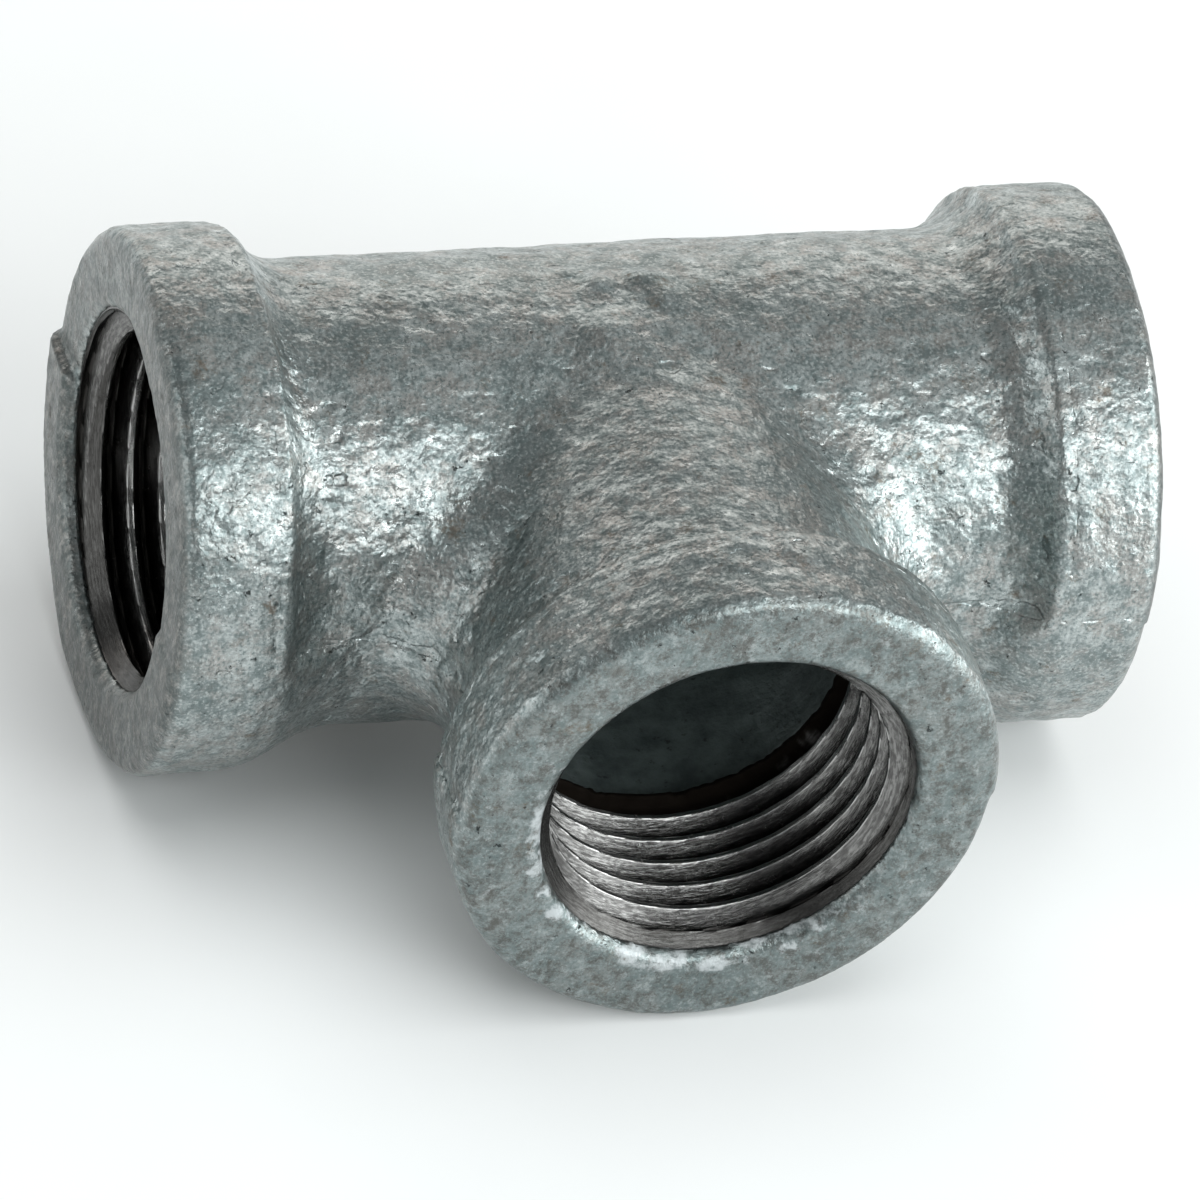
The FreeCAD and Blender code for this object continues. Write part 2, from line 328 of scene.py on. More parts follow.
# Single marks of the mould on the outside: place from the crossing, radius and height, in mm.
MOULD_MARKS = [
    ((-1.8, 1.3, 12.7), 0.85, 0.5),
    ((0.8, 1.4, 12.7), 0.95, 0.5),
    ((1.8, -0.2, 12.8), 0.8, 0.3),
    ((-3.4, 2.6, 12.5), 0.5, 0.25),
    ((-2.0, -3.2, 12.3), 1.8, 0.85),
    ((0.8, -5.3, 12.3), 0.6, -0.28),
    ((20.9, -2.8, 13.4), 0.55, 0.3),
    ((21.0, -4.9, 12.9), 0.5, 0.22),
    ((22.2, -12.4, 8.3), 0.4, -0.25),
    ((22.7, -12.9, 7.6), 0.5, 0.18),
    ((-12.3, -16.0, 1.8), 0.6, 0.25),
    ((-17.4, -10.9, -6.8), 0.4, -0.3),
    ((-13.6, -11.4, -6.2), 0.35, -0.25),
    ((-23.2, -13.4, 6.8), 0.35, -0.15),
    ((-18.2, -9.3, 8.8), 0.4, -0.12),
]

# Low plain rings on the top of the branch band: place from the crossing, radius and height, in mm.
PATTERN_RINGS = [
    ((-0.8, -23.9, 14.9), 1.0, 0.16),
    ((2.6, -23.2, 14.7), 0.9, 0.16),
]
RING_WIDTH = 0.35

# Layers of the cast surface: the height each one shares, its share, its lumps in mm, its seed.
SURFACE_LAYERS = [
    ("swell_height", 1.0, 5.2, 11),
    ("swell_height", 0.5, 2.4, 12),
    ("lump_height", 1.0, (1.25, 0.95, 0.95), 13),
    ("lump_height", 0.45, 0.62, 14),
]

# Layers of the sand core's surface: height and lumps in mm, and seed.
CORE_LAYERS = [
    (0.1, 3.4, 21),
    (0.07, 1.1, 22),
]


class Casting:
    """The field of distances of the whole casting, in millimetres from the crossing."""

    # Heights over which the lower mould half takes over from the upper one.
    SLIP_CHANGE = 0.3
    SHOULDER_CHANGE = 1.6

    # The halves' slip is whole at the run's back and grows from this share at the branch.
    LEAST_SLIP = 0.35
    SLIP_GROWS_FROM = -3.0
    SLIP_GROWS_OVER = 8.0

    # A pipe ends inside its band, and a fillet needs surfaces that aren't quite flush.
    PIPE_STOPS_SHORT = 2.0
    MOST_LEAN = 0.98
    BRANCH_LOWER_SHARE = 0.5
    CORE_ROUNDING = 1.2

    # The groove that leaves a bead along a band's shoulder.
    BEAD_GROOVE_PLACE = 0.75
    BEAD_GROOVE_WIDTH = 0.3

    # The fin at the parting line, where it breaks off, and the groove over it.
    FIN_WIDTH = 0.17
    FIN_LEFT = 0.55
    FIN_BREAKS = 0.6
    FIN_LUMPS = (2.2, 2.2, 1.0)
    FIN_GROOVE_PLACE = 0.5
    FIN_GROOVE_WIDTH = 0.22
    FIN_GROOVE_SHARE = 0.45

    # The cast surface is calmer near an end face.
    CALM_FROM = 1.4
    CALM_OVER = 1.2
    CALM_SHARE = 0.5

    # Steps of the grid kept outside the casting, and on each side of a rough surface.
    MARGIN_STEPS = 4
    OUTER_STEPS = 4
    CORE_STEPS = 3

    def __init__(self, sizes):
        for name in CastingSizes.__annotations__:
            setattr(self, name, getattr(sizes, name) / MM)
        self.arm = ARM_LENGTH / MM - self.mould_shift
        self.branch_arm = ARM_LENGTH / MM - self.lump_height
        self.lip_start = ARM_LENGTH / MM - self.lip_depth
        self.seat_end = THREAD_INNER_END / MM
        self.band = BAND_RADIUS / MM
        self.run = RUN_RADIUS / MM
        self.seat = SEAT_RADIUS / MM

    def band_field(self, along, out, pipe, lower, arm, upper_slope):
        """One band: a rounded ring with a slope down to its pipe."""
        drop = self.band - pipe
        slope_length = upper_slope + (self.lower_slope - upper_slope) * lower
        edge = self.upper_edge + (self.lower_edge - self.upper_edge) * lower
        slant = np.hypot(drop, slope_length)
        start = arm - self.band_width - self.lower_band_extra * lower
        slope = ((start - along) * drop + (out - self.band) * slope_length) / slant
        groove = hump(along - start - self.BEAD_GROOVE_PLACE, self.BEAD_GROOVE_WIDTH)
        ring = round_edge(out - self.band + self.bead_height * groove, along - arm, self.rim_radius)
        return round_edge(ring, slope, edge)

    def outside(self, x, y, z):
        """The pattern's outside, before the mould's unevenness."""
        lower = smooth_step(0.5 - z / self.SLIP_CHANGE)
        lower_shoulder = smooth_step(0.5 - z / self.SHOULDER_CHANGE)
        growth = smooth_step((y - self.SLIP_GROWS_FROM) / self.SLIP_GROWS_OVER)
        slip = self.mould_shift * (self.LEAST_SLIP + (1.0 - self.LEAST_SLIP) * growth)
        slid = x + slip * (2.0 * lower - 1.0)
        run_out = np.hypot(y, z)
        branch_out = np.hypot(slid, z)
        run_end = self.arm - self.PIPE_STOPS_SHORT
        branch_end = self.branch_arm - self.PIPE_STOPS_SHORT
        run_pipe = np.maximum(run_out - self.run, np.abs(slid) - run_end)
        branch_pipe = np.maximum(branch_out - self.branch_radius, -y - branch_end)
        branch_pipe = np.maximum(branch_pipe, y)
        lean = np.minimum(z**2 / np.maximum(run_out * branch_out, 1.0), self.MOST_LEAN)
        whole = round_join(run_pipe, branch_pipe, self.crotch_radius, lean)
        right = self.band_field(slid, run_out, self.run, lower_shoulder, self.arm, self.long_slope)
        whole = round_join(whole, right, self.tight_neck)
        left = self.band_field(-slid, run_out, self.run, lower_shoulder, self.arm, self.steep_slope)
        whole = round_join(whole, left, self.full_neck)
        lower_part = self.BRANCH_LOWER_SHARE * lower_shoulder
        band = self.band_field(
            -y, branch_out, self.branch_radius, lower_part, self.branch_arm, self.long_slope
        )
        return round_join(whole, band, self.tight_neck)

    def passage_radius(self, along):
        """Radius of the cored passage, a thread's seat or the cast lip, that far along an arm."""
        radius = np.where(along > self.seat_end, self.seat, self.chamber_radius)
        return np.where(along > self.lip_start, self.lip_bore, radius)

    def bores(self, x, y, z):
        """The cored passage and the turned seats of the three threads."""
        run_bore = np.hypot(y, z) - self.passage_radius(np.abs(x))
        branch_bore = np.maximum(np.hypot(x, z) - self.passage_radius(-y), y)
        return round_join(run_bore, branch_bore, self.CORE_ROUNDING)

    def unevenness(self, points):
        """How far the cast surface stands out at each point."""
        height = np.zeros(len(points), np.float32)
        for kind, share, lumps, seed in SURFACE_LAYERS:
            height += share * getattr(self, kind) * Grain(seed).at(points, lumps)
        left_over = self.FIN_LEFT + self.FIN_BREAKS * Grain(15).at(points, self.FIN_LUMPS)
        fin = hump(points[:, 2], self.FIN_WIDTH) * np.clip(left_over, 0.0, 1.0)
        height += self.seam_height * fin
        groove = hump(points[:, 2] - self.FIN_GROOVE_PLACE, self.FIN_GROOVE_WIDTH)
        height -= self.FIN_GROOVE_SHARE * self.seam_height * groove
        outward = np.maximum(np.abs(points[:, 0]), -points[:, 1])
        near_end = smooth_step((outward - self.arm + self.CALM_FROM) / self.CALM_OVER)
        height *= 1.0 - self.CALM_SHARE * near_end
        for place, radius, lift in MOULD_MARKS:
            height += lift * hump(distance(points, place), radius)
        for place, radius, lift in PATTERN_RINGS:
            height += lift * hump(distance(points, place) - radius, RING_WIDTH)
        return height

    def field(self):
        """The finished field on a grid, and the grid's first corner."""
        margin = self.MARGIN_STEPS * self.mesh_step
        reach = ARM_LENGTH / MM + margin
        low = np.array([-reach, -reach, -self.band - margin])
        high = np.array([reach, self.band + margin, self.band + margin])
        axes = [np.arange(a, b, self.mesh_step, dtype=np.float32) for a, b in zip(low, high)]
        x, y, z = np.meshgrid(*axes, indexing="ij", sparse=True)
        outer = self.outside(x, y, z).astype(np.float32)
        near = np.abs(outer) < self.OUTER_STEPS * self.mesh_step
        outer[near] -= self.unevenness(grid_points(axes, near))
        bore = self.bores(x, y, z).astype(np.float32)
        cored = (np.abs(x) < self.seat_end) & (-y < self.seat_end)
        near = (np.abs(bore) < self.CORE_STEPS * self.mesh_step) & cored
        points = grid_points(axes, near)
        for height, lumps, seed in CORE_LAYERS:
            bore[near] += height * Grain(seed).at(points, lumps)
        return round_edge(outer, -bore, self.lip_radius), low


def mesh_from_field(values, low, step, name):
    """Skins the zero level of a field of distances, in metres in the shared frame."""
    reach = FIELD_STEPS * step
    grid = openvdb.FloatGrid(reach)
    grid.copyFromArray(np.clip(values, -reach, reach).astype(np.float32))
    points, _, quads = grid.convertToPolygons(isovalue=0.0, adaptivity=0.0)
    places = (points * step + low) * MM + np.array(CROSSING)
    mesh = bpy.data.meshes.new(name)
    mesh.vertices.add(len(places))
    mesh.vertices.foreach_set("co", places.astype(np.float32).ravel())
    corners = quads.astype(np.int32)
    mesh.loops.add(corners.size)
    mesh.loops.foreach_set("vertex_index", corners.ravel())
    mesh.polygons.add(len(corners))
    mesh.polygons.foreach_set("loop_start", np.arange(len(corners), dtype=np.int32) * 4)
    mesh.update(calc_edges=True)
    mesh.validate()
    return mesh


def points_of(mesh):
    """The mesh's points, in millimetres from the crossing."""
    flat = np.empty(len(mesh.vertices) * 3, np.float32)
    mesh.vertices.foreach_get("co", flat)
    return (flat.reshape(-1, 3) - np.array(CROSSING, np.float32)) / MM


def give_numbers(mesh, name, values):
    """Stores one number for each point of the mesh."""
    layer = mesh.attributes.new(name, "FLOAT", "POINT")
    layer.data.foreach_set("value", np.asarray(values, np.float32))


def give_vectors(mesh, name, values):
    """Stores one vector for each point of the mesh."""
    layer = mesh.attributes.new(name, "FLOAT_VECTOR", "POINT")
    layer.data.foreach_set("vector", np.asarray(values, np.float32).ravel())


def hollowness(mesh, points):
    """How hollow, above zero, or how crowned, below zero, the skin is at each point."""
    flat = np.empty(len(mesh.edges) * 2, np.int32)
    mesh.edges.foreach_get("vertices", flat)
    ends = flat.reshape(-1, 2)
    joined = np.concatenate([ends, ends[:, ::-1]])
    count = np.bincount(joined[:, 0], minlength=len(points))
    smooth = points.astype(np.float64)
    for _ in range(SMOOTHING_ROUNDS):
        sums = [np.bincount(joined[:, 0], smooth[joined[:, 1], k], len(points)) for k in range(3)]
        smooth = 0.5 * smooth + 0.5 * np.stack(sums, axis=1) / count[:, None]
    normals = np.empty(len(points) * 3, np.float32)
    mesh.vertex_normals.foreach_get("vector", normals)
    return ((smooth - points) * normals.reshape(-1, 3)).sum(axis=1)


def mark_faces(mesh, casting):
    """Notes on the skin where it is on an end face, and where zinc is smeared round a mouth."""
    face_start = casting.arm - 0.75
    face_over = 0.7
    smear_bearing = math.radians(-125.0)
    smear_radius = 11.55
    smear_edge = 0.3
    smear_lumps = (1.6, 1.0, 1.0)
    points = points_of(mesh)
    x, y, z = points.T
    give_numbers(mesh, "run_face", smooth_step((np.abs(x) - face_start) / face_over))
    give_numbers(mesh, "branch_face", smooth_step((-y - face_start) / face_over))
    around = np.arctan2(z, x)
    lower_left = smooth_step((np.cos(around - smear_bearing) + 0.15) / 0.7)
    mouth_edge = smooth_step((smear_radius - np.hypot(x, z)) / smear_edge)
    patchy = smooth_step(0.55 + 1.5 * Grain(31).at(points, smear_lumps))
    smear = lower_left * mouth_edge * patchy * (-y > casting.lip_start)
    give_numbers(mesh, "zinc_smear", smear)
    give_numbers(mesh, "hollow", hollowness(mesh, points))


def mark_passage(mesh, casting):
    """Gives the faces inside the cored passage the second material."""
    flat = np.empty(len(mesh.polygons) * 3, np.float32)
    mesh.polygons.foreach_get("center", flat)
    x, y, z = ((flat.reshape(-1, 3) - np.array(CROSSING, np.float32)) / MM).T
    deep = (np.abs(x) < casting.lip_start) & (-y < casting.lip_start)
    nearer_hole = np.abs(casting.bores(x, y, z)) < np.abs(casting.outside(x, y, z))
    mesh.polygons.foreach_set("material_index", (deep & nearer_hole).astype(np.int32))


def part_skin(name, cuts):
    """Copies the skin, keeps the side of each cut that it says, and closes the cuts."""
    bm = bmesh.new()
    bm.from_mesh(bpy.data.meshes[SKIN])
    for place, keep in cuts:
        direction = Vector(keep).normalized()
        whole = bm.verts[:] + bm.edges[:] + bm.faces[:]
        cut = bmesh.ops.bisect_plane(
            bm,
            geom=whole,
            dist=SAME_PLACE,
            plane_co=place,
            plane_no=direction,
            clear_inner=True,
        )
        rim = [e for e in cut["geom_cut"] if isinstance(e, bmesh.types.BMEdge)]
        filled = bmesh.ops.triangle_fill(bm, edges=rim, use_beauty=True, normal=-direction)
        for face in filled["geom"]:
            if not isinstance(face, bmesh.types.BMFace):
                continue
            face.normal_update()
            if face.normal.dot(direction) > 0:
                face.normal_flip()
            face.material_index = 1
        for edge in rim:
            edge.smooth = False
    mesh = bpy.data.meshes.new(name)
    bm.to_mesh(mesh)
    bm.free()
    mesh.polygons.foreach_set("use_smooth", np.ones(len(mesh.polygons), bool))
    return place_piece(name, mesh, [zinc_coat(), chamber_coat()])


def place_piece(name, mesh, materials):
    """Puts a finished mesh in the scene, with its materials."""
    piece = bpy.data.objects.new(name, mesh)
    bpy.context.scene.collection.objects.link(piece)
    for material in materials:
        mesh.materials.append(material)
    return piece


class Bench:
    """Lays out and joins the nodes of one material."""

    COLUMNS = 8
    COLUMN_WIDTH = 220.0
    ROW_HEIGHT = 260.0

    def __init__(self, name):
        self.material = bpy.data.materials.new(name)
        self.material.use_nodes = True
        self.tree = self.material.node_tree
        self.tree.nodes.clear()
        self.shader = self.node("ShaderNodeBsdfPrincipled")
        output = self.node("ShaderNodeOutputMaterial")
        self.tree.links.new(self.shader.outputs["BSDF"], output.inputs["Surface"])

    def node(self, kind):
        """A new node, in the next place of a plain layout."""
        made = self.tree.nodes.new(kind)
        row, column = divmod(len(self.tree.nodes), self.COLUMNS)
        made.location = (-self.COLUMN_WIDTH * column, -self.ROW_HEIGHT * row)
        return made

    def join(self, source, socket):
        """Links an output to a socket, or sets the socket to a plain value."""
        if isinstance(source, bpy.types.NodeSocket):
            self.tree.links.new(source, socket)
        elif socket.type == "RGBA":
            socket.default_value = (*source, 1.0)
        else:
            socket.default_value = source

    def object_place(self):
        """The place of each point, in metres."""
        return self.node("ShaderNodeTexCoord").outputs["Object"]

    def stored(self, name, kind="Fac"):
        """A number or vector that the mesh holds for each point."""
        node = self.node("ShaderNodeAttribute")
        node.attribute_name = name
        return node.outputs[kind]

    def stretch(self, place, scale):
        """The place scaled along each axis, so that a noise on it is drawn out."""
        node = self.node("ShaderNodeMapping")
        self.join(place, node.inputs["Vector"])
        node.inputs["Scale"].default_value = scale
        return node.outputs["Vector"]

    def noise(self, place, lump, detail, roughness):
        """Noise whose lumps are about that many metres across."""
        node = self.node("ShaderNodeTexNoise")
        self.join(place, node.inputs["Vector"])
        node.inputs["Scale"].default_value = 1.0 / lump
        node.inputs["Detail"].default_value = detail
        node.inputs["Roughness"].default_value = roughness
        return node.outputs["Fac"]

    def ease(self, value, span, result=(0.0, 1.0)):
        """Maps the value from one span to another, held at the ends."""
        node = self.node("ShaderNodeMapRange")
        node.interpolation_type = "SMOOTHSTEP"
        self.join(value, node.inputs["Value"])
        node.inputs["From Min"].default_value = span[0]
        node.inputs["From Max"].default_value = span[1]
        node.inputs["To Min"].default_value = result[0]
        node.inputs["To Max"].default_value = result[1]
        return node.outputs["Result"]

    def maths(self, operation, first, second):
        """One sum, product or other operation on two values."""
        node = self.node("ShaderNodeMath")
        node.operation = operation
        self.join(first, node.inputs[0])
        self.join(second, node.inputs[1])
        return node.outputs[0]

    def blend(self, share, first, second):
        """A colour that goes from the first to the second as the share goes from 0 to 1."""
        first_colour = 6
        second_colour = 7
        blended = 2
        node = self.node("ShaderNodeMix")
        node.data_type = "RGBA"
        self.join(share, node.inputs["Factor"])
        self.join(first, node.inputs[first_colour])
        self.join(second, node.inputs[second_colour])
        return node.outputs[blended]

    def bump(self, height, depth, under=None):
        """A bump whose full height is that many metres, over another one if there is one."""
        node = self.node("ShaderNodeBump")
        node.inputs["Distance"].default_value = depth
        self.join(height, node.inputs["Height"])
        if under is not None:
            self.join(under, node.inputs["Normal"])
        return node.outputs["Normal"]

    def set(self, name, source):
        """Gives a socket of the shader its value."""
        self.join(source, self.shader.inputs[name])


def zinc_coat():
    """Hot-dip zinc on sand-cast iron: grey spangles, dull patches, specks and pits."""
    known = bpy.data.materials.get("zinc_coat")
    if known:
        return known
    colours = bpy.context.scene.tee_colours
    bench = Bench("zinc_coat")
    place = bench.object_place()
    on_end = bench.stored("branch_face")
    on_face = bench.stored("run_face")
    hollow = bench.stored("hollow")
    smear = bench.stored("zinc_smear")

    # The spangled coat, from large dull patches down to its grit.
    patches = bench.noise(place, lump=0.006, detail=3.0, roughness=0.6)
    mottle = bench.noise(place, lump=0.001, detail=5.0, roughness=0.68)
    hue = bench.noise(place, lump=0.0017, detail=5.0, roughness=0.7)
    grit = bench.noise(place, lump=0.0002, detail=2.0, roughness=0.6)
    dull_to_mid = bench.ease(mottle, (0.34, 0.57), (0.2, 1.0))
    tone = bench.blend(dull_to_mid, colours.zinc_dark, colours.zinc_mid)
    tone = bench.blend(bench.ease(mottle, (0.5, 0.76)), tone, colours.zinc_light)
    tone = bench.blend(bench.ease(hue, (0.44, 0.62), (0.0, 0.65)), tone, colours.zinc_warm)
    tone = bench.blend(bench.ease(patches, (0.48, 0.66), (0.0, 0.5)), tone, colours.zinc_dark)
    tone = bench.blend(bench.ease(grit, (0.5, 0.7), (0.0, 0.85)), tone, colours.zinc_dark)
    tone = bench.blend(bench.ease(grit, (0.47, 0.32), (0.0, 0.6)), tone, colours.zinc_light)

    # The branch's end face: duller, with bare patches and brown dust.
    tone = bench.blend(bench.ease(on_end, (0.0, 1.0), (0.0, 0.56)), tone, colours.zinc_dark)
    bare = bench.noise(place, lump=0.0006, detail=5.0, roughness=0.75)
    bare_share = bench.maths("MULTIPLY", bench.ease(bare, (0.54, 0.64), (0.0, 0.7)), on_end)
    tone = bench.blend(bare_share, tone, colours.zinc_mid)
    grime = bench.noise(place, lump=0.0009, detail=8.0, roughness=0.85)
    grime_share = bench.maths("MULTIPLY", bench.ease(grime, (0.45, 0.62), (0.0, 0.85)), on_end)
    tone = bench.blend(grime_share, tone, colours.grime)

    # Stains, painted shade in hollows, the rubbed end faces of the run, and pits.
    stains = bench.noise(place, lump=0.0021, detail=7.0, roughness=0.78)
    stain_share = bench.ease(stains, (0.57, 0.7), (0.0, 0.75))
    tone = bench.blend(stain_share, tone, colours.stain)
    # Painted shade: concave fillets and creases are darkened towards dark zinc.
    tone = bench.blend(bench.ease(hollow, (0.02, 0.06), (0.0, 0.3)), tone, colours.zinc_dark)
    drawn_out = bench.stretch(place, (1.0, 1.0, 0.6))
    rubbed = bench.noise(drawn_out, lump=0.00045, detail=6.0, roughness=0.78)
    streaks = bench.ease(rubbed, (0.44, 0.74))
    rub_tone = bench.blend(streaks, colours.rubbed_zinc, colours.zinc_warm)
    tone = bench.blend(bench.ease(on_face, (0.0, 1.0), (0.0, 0.75)), tone, rub_tone)
    specks = bench.noise(place, lump=0.0007, detail=5.0, roughness=0.75)
    speck_share = bench.ease(specks, (0.63, 0.7), (0.0, 0.9))
    tone = bench.blend(speck_share, tone, colours.pit)

    # The crust of fresh zinc round the branch's mouth.
    lumps = bench.noise(place, lump=0.0006, detail=6.0, roughness=0.75)
    crust = bench.maths("ADD", lumps, bench.maths("MULTIPLY", smear, 0.3))
    crusted = bench.ease(crust, (0.58, 0.86))
    tone = bench.blend(crusted, tone, colours.fresh_zinc)
    bench.set("Base Color", tone)
    bench.set("Metallic", bench.ease(crusted, (0.0, 1.0), (0.93, 0.6)))

    # Bright spangles are the glossiest, and stains and crust are dull.
    gloss = bench.ease(mottle, (0.35, 0.7), (0.42, 0.25))
    dulled = bench.ease(bench.maths("MAXIMUM", stain_share, crusted), (0.0, 0.7), (0.0, 0.2))
    bench.set("Roughness", bench.maths("ADD", gloss, dulled))

    # Peel and dimples, calmer on end faces and in hollows, then grit and pits.
    peel = bench.noise(place, lump=0.00082, detail=1.0, roughness=0.5)
    dimples = bench.noise(place, lump=0.00042, detail=1.0, roughness=0.5)
    end_faces = bench.maths("MAXIMUM", on_end, on_face)
    level = bench.maths("MAXIMUM", end_faces, bench.ease(hollow, (0.008, 0.03)))
    calm = bench.ease(level, (0.0, 1.0), (1.0, 0.4))
    relief = bench.bump(bench.maths("MULTIPLY", peel, calm), 0.00015)
    relief = bench.bump(bench.maths("MULTIPLY", dimples, calm), 0.000058, relief)
    relief = bench.bump(grit, 0.00004, relief)
    pits = bench.maths("MULTIPLY", speck_share, -1.0)
    bench.set("Normal", bench.bump(pits, 0.00006, relief))
    return bench.material


def chamber_coat():
    """The dull zinc inside the cored passage."""
    known = bpy.data.materials.get("chamber_coat")
    if known:
        return known
    colours = bpy.context.scene.tee_colours
    bench = Bench("chamber_coat")
    place = bench.object_place()
    mottle = bench.noise(place, lump=0.0022, detail=5.0, roughness=0.65)
    specks = bench.noise(place, lump=0.0006, detail=3.0, roughness=0.6)
    pale_share = bench.ease(mottle, (0.3, 0.7))
    tone = bench.blend(pale_share, colours.chamber_dark, colours.chamber_zinc)
    tone = bench.blend(bench.ease(specks, (0.62, 0.72), (0.0, 0.8)), tone, colours.pit)
    bench.set("Base Color", tone)
    bench.set("Metallic", 0.25)
    bench.set("Roughness", bench.ease(mottle, (0.3, 0.7), (0.6, 0.42)))
    bench.set("Normal", bench.bump(specks, 0.0001))
    return bench.material


def cut_iron():
    """Bare iron off the threading tool: fine rings and dark oil blotches, with a painted highlight on
    the crests and painted shade in the roots and on the chamfer.
    """
    known = bpy.data.materials.get("threaded_iron")
    if known:
        return known
    colours = bpy.context.scene.tee_colours
    bench = Bench("threaded_iron")
    arm = bench.stored("arm_place", "Vector")
    rise = bench.stored("thread_rise")
    dirt = bench.stored("thread_dirt")
    along_turns = bench.stretch(arm, (1.0, 0.04, 0.04))
    along_scratches = bench.stretch(arm, (1.0, 0.1, 0.1))
    rings = bench.noise(along_turns, lump=0.00009, detail=4.0, roughness=0.7)
    scratch = bench.noise(along_scratches, lump=0.00007, detail=4.0, roughness=0.7)
    blotch = bench.noise(arm, lump=0.0011, detail=6.0, roughness=0.75)
    tone = bench.blend(bench.ease(scratch, (0.38, 0.6)), colours.iron_dull, colours.iron)
    tone = bench.blend(bench.ease(rings, (0.45, 0.62), (0.0, 0.7)), tone, colours.iron_dull)
    tone = bench.blend(bench.ease(blotch, (0.52, 0.68), (0.0, 0.4)), tone, colours.oiled_iron_and_root_shade)
    # Painted shade: the thread roots and the chamfer are darkened towards oiled iron.
    tone = bench.blend(bench.ease(rise, (0.4, 0.0)), tone, colours.oiled_iron_and_root_shade)
    # Painted highlight: the thread crests are lightened towards bright iron.
    tone = bench.blend(bench.ease(rise, (0.93, 1.0), (0.0, 0.7)), tone, colours.crest_highlight)
    tone = bench.blend(dirt, tone, colours.rust)
    bench.set("Base Color", tone)
    bench.set("Metallic", 1.0)
    smear = bench.ease(blotch, (0.3, 0.7), (0.17, 0.28))
    bench.set("Roughness", bench.maths("ADD", smear, bench.maths("MULTIPLY", dirt, 0.5)))
    ring_bump = bench.bump(rings, 0.00002)
    bench.set("Normal", bench.bump(scratch, 0.00002, ring_bump))
    return bench.material


def thread_profile(phase, sizes):
    """Share of the full depth that is left uncut at each place of a turn, 0 to 1."""
    from_groove = np.abs(phase - np.floor(phase) - 0.5) * 2.0
    rise = (from_groove - sizes.root_share) / (1.0 - sizes.root_share - sizes.crest_share)
    return np.clip(rise, 0.0, 1.0)


def thread_rows(first_turn, seed):
    """The thread's bore as rows of points, with how uncut and how rusty each point is.

    A point is its depth behind the end face, then two places across the bore.
    """
    sizes = bpy.context.scene.tee_thread
    start = bpy.context.scene.tee_casting.lip_depth
    end = ARM_LENGTH - THREAD_INNER_END
    count = int((end - start) / sizes.pitch * sizes.rows_per_turn)
    around = np.linspace(0.0, 2.0 * math.pi, sizes.turns_round, endpoint=False)
    depth = np.linspace(start, end, count + 1)
    depth, turn = np.meshgrid(depth, around, indexing="ij")
    across = (np.cos(turn) * GRAIN_RADIUS, np.sin(turn) * GRAIN_RADIUS)
    places = np.stack([*across, depth / MM], axis=2).reshape(-1, 3)
    ragged = 0.8 * Grain(seed).at(places, TORN_LUMPS)
    ragged += 0.7 * Grain(seed + 1).at(places, SMALL_TORN_LUMPS)
    ragged = ragged.reshape(depth.shape)
    rust = smooth_step((depth - end + RUST_WIDTH + RUST_EDGE * ragged) / RUST_EDGE)
    rise = thread_profile(depth / sizes.pitch + turn / (2.0 * math.pi) + first_turn, sizes)
    radius = sizes.root_radius - (sizes.root_radius - sizes.crest_radius) * rise
    chamfer = sizes.chamfer_radius - (depth - start)
    rise = np.where(chamfer > radius, CHAMFER_RISE, rise)
    radius = np.maximum(radius, chamfer)
    chatter = Grain(seed + 2).at(places, CHATTER_LUMPS).reshape(depth.shape)
    radius = radius + sizes.chatter * chatter
    torn = smooth_step((depth - end + TORN_WIDTH) / LAST_TURN) * np.clip(ragged + 0.2, 0.0, 1.0)
    radius = np.minimum(radius + sizes.ragged_end * torn, sizes.root_radius)
    near_end = smooth_step((depth - end + LAST_TURN) / LAST_TURN)
    uneven = depth + near_end * (ragged - 0.6) * sizes.ragged_end
    inner = np.stack([uneven, radius * np.cos(turn), radius * np.sin(turn)], axis=2)
    seat_y = SEAT_RADIUS * np.cos(turn[:2])
    seat_z = SEAT_RADIUS * np.sin(turn[:2])
    seat = np.stack([np.stack([uneven[0], uneven[-1]]), seat_y, seat_z], axis=2)
    rows = np.concatenate([seat[:1], inner, seat[1:]])
    rises = np.concatenate([rise[:1], rise, rise[-1:]])
    rusts = np.concatenate([rust[:1], rust, rust[-1:]])
    return rows, rises, rusts


def thread_mesh(name, axis, across, first_turn, seed):
    """One closed threaded ring, along the axis that points out of its end."""
    outward = np.array(axis)
    side = np.array(across)
    up = np.cross(outward, side)
    rows, rises, rusts = thread_rows(first_turn, seed)
    count, points_round = rows.shape[:2]
    local = rows.reshape(-1, 3)
    places = (ARM_LENGTH - local[:, :1]) * outward + local[:, 1:2] * side + local[:, 2:] * up
    index = np.arange(count * points_round).reshape(count, points_round)
    index = np.concatenate([index, index[:1]])
    following = np.roll(index, -1, axis=1)
    faces = np.stack([index[:-1], following[:-1], following[1:], index[1:]], axis=2).reshape(-1, 4)
    mesh = bpy.data.meshes.new(name)
    mesh.from_pydata((np.array(CROSSING) + places).tolist(), [], faces.tolist())
    give_numbers(mesh, "thread_rise", rises.ravel())
    give_numbers(mesh, "thread_dirt", rusts.ravel())
    give_vectors(mesh, "arm_place", local)
    bm = bmesh.new()
    bm.from_mesh(mesh)
    bmesh.ops.recalc_face_normals(bm, faces=bm.faces)
    for edge in bm.edges:
        edge.smooth = edge.calc_face_angle() <= SHARP_ANGLE
    bm.to_mesh(mesh)
    bm.free()
    mesh.polygons.foreach_set("use_smooth", np.ones(len(mesh.polygons), bool))
    return mesh


